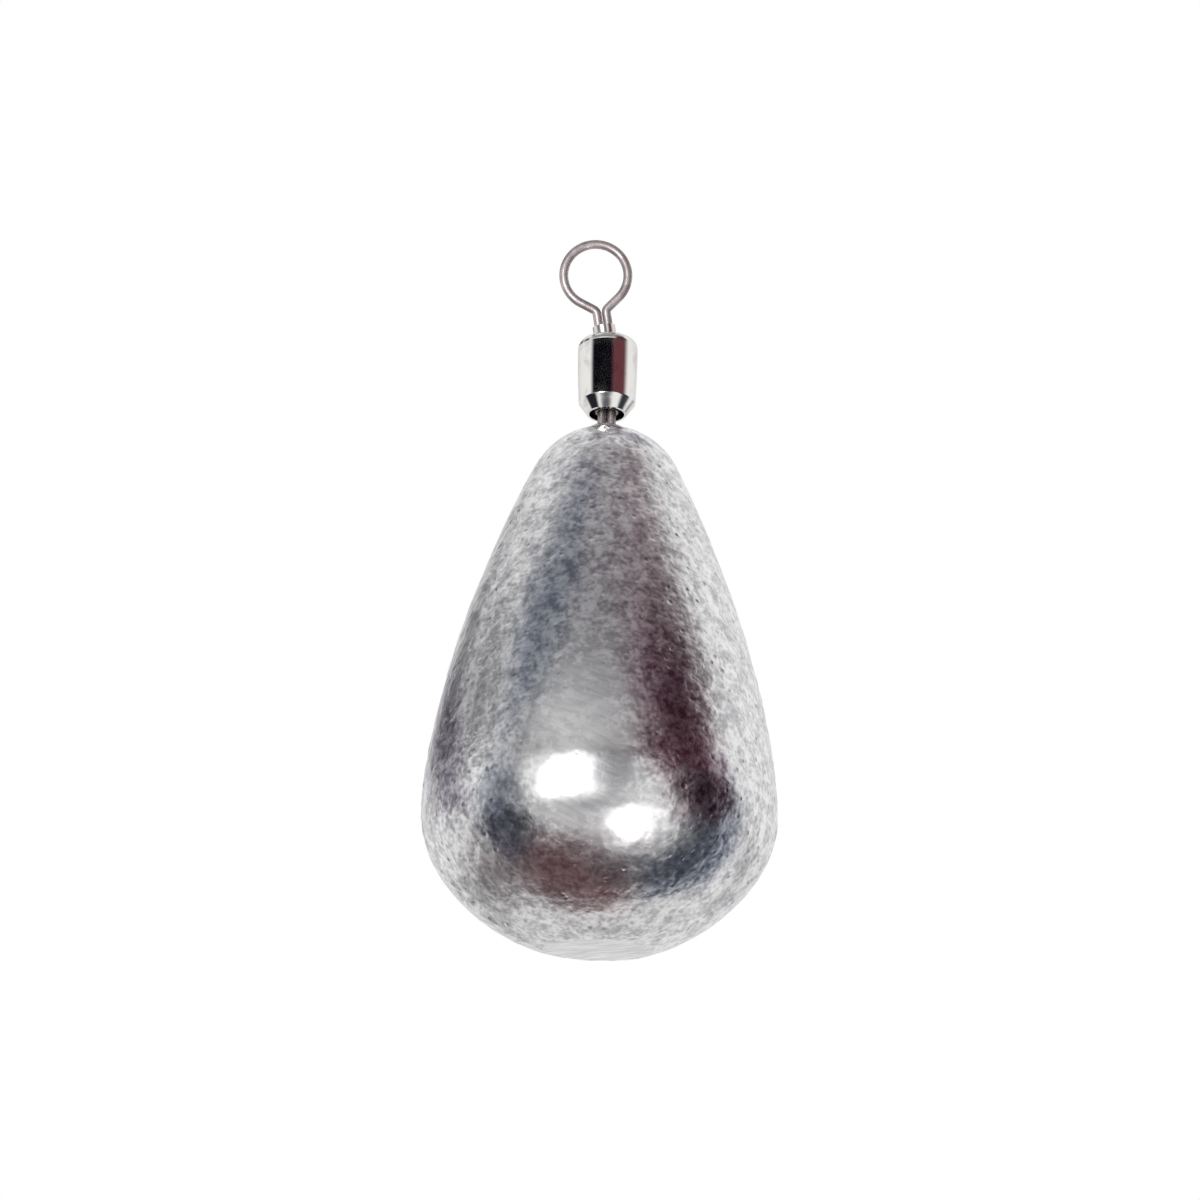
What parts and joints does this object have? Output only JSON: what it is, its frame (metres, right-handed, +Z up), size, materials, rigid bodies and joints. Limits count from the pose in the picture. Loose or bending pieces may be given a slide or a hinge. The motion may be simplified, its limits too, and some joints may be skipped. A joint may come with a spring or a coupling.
{
  "type": "fishing sinker",
  "caption": "Pear-shaped cast lead sinker hanging from a rolling swivel whose lower wire eye is cast into its narrow top, with a round line eye above.",
  "frame": {"origin": "centre of the upper line eye, which holds the part up", "axes": "+Z up along the hanging sinker, +Y away from the side pictured, +X to its right"},
  "size_m": [0.0189, 0.0189, 0.0409],
  "materials": {
    "cast_lead": "satin",
    "spring_wire": "satin",
    "plated_barrel": "polished",
    "plated_bead": "satin"
  },
  "bodies": {
    "upper_eye": {"upper_eye": "spring_wire"},
    "upper_bead": {"upper_bead": "plated_bead"},
    "barrel": {"barrel": "plated_barrel"},
    "lower_bead": {"lower_bead": "plated_bead"},
    "lead": {"lower_eye": "spring_wire", "lead_body": "cast_lead"}
  },
  "joints": [
    {"name": "upper_spin", "type": "hinge", "parent": "upper_eye", "child": "upper_bead", "pos_m": [0.00073, 0.00087, -0.00423], "axis": [-0.1664, -0.1983, 0.9659], "continuous": true},
    {"name": "upper_rock", "type": "hinge", "parent": "upper_bead", "child": "barrel", "pos_m": [0.00073, 0.00087, -0.00423], "axis": [0.766, -0.6428, 0], "range_deg": [-2, 32]},
    {"name": "lower_rock", "type": "hinge", "parent": "barrel", "child": "lower_bead", "pos_m": [0.00073, 0.00087, -0.00629], "axis": [0.6428, 0.766, 0], "range_deg": [-10, 10]},
    {"name": "lead_spin", "type": "hinge", "parent": "lower_bead", "child": "lead", "pos_m": [0.00073, 0.00087, -0.00629], "axis": [0, 0, 1], "continuous": true}
  ]
}
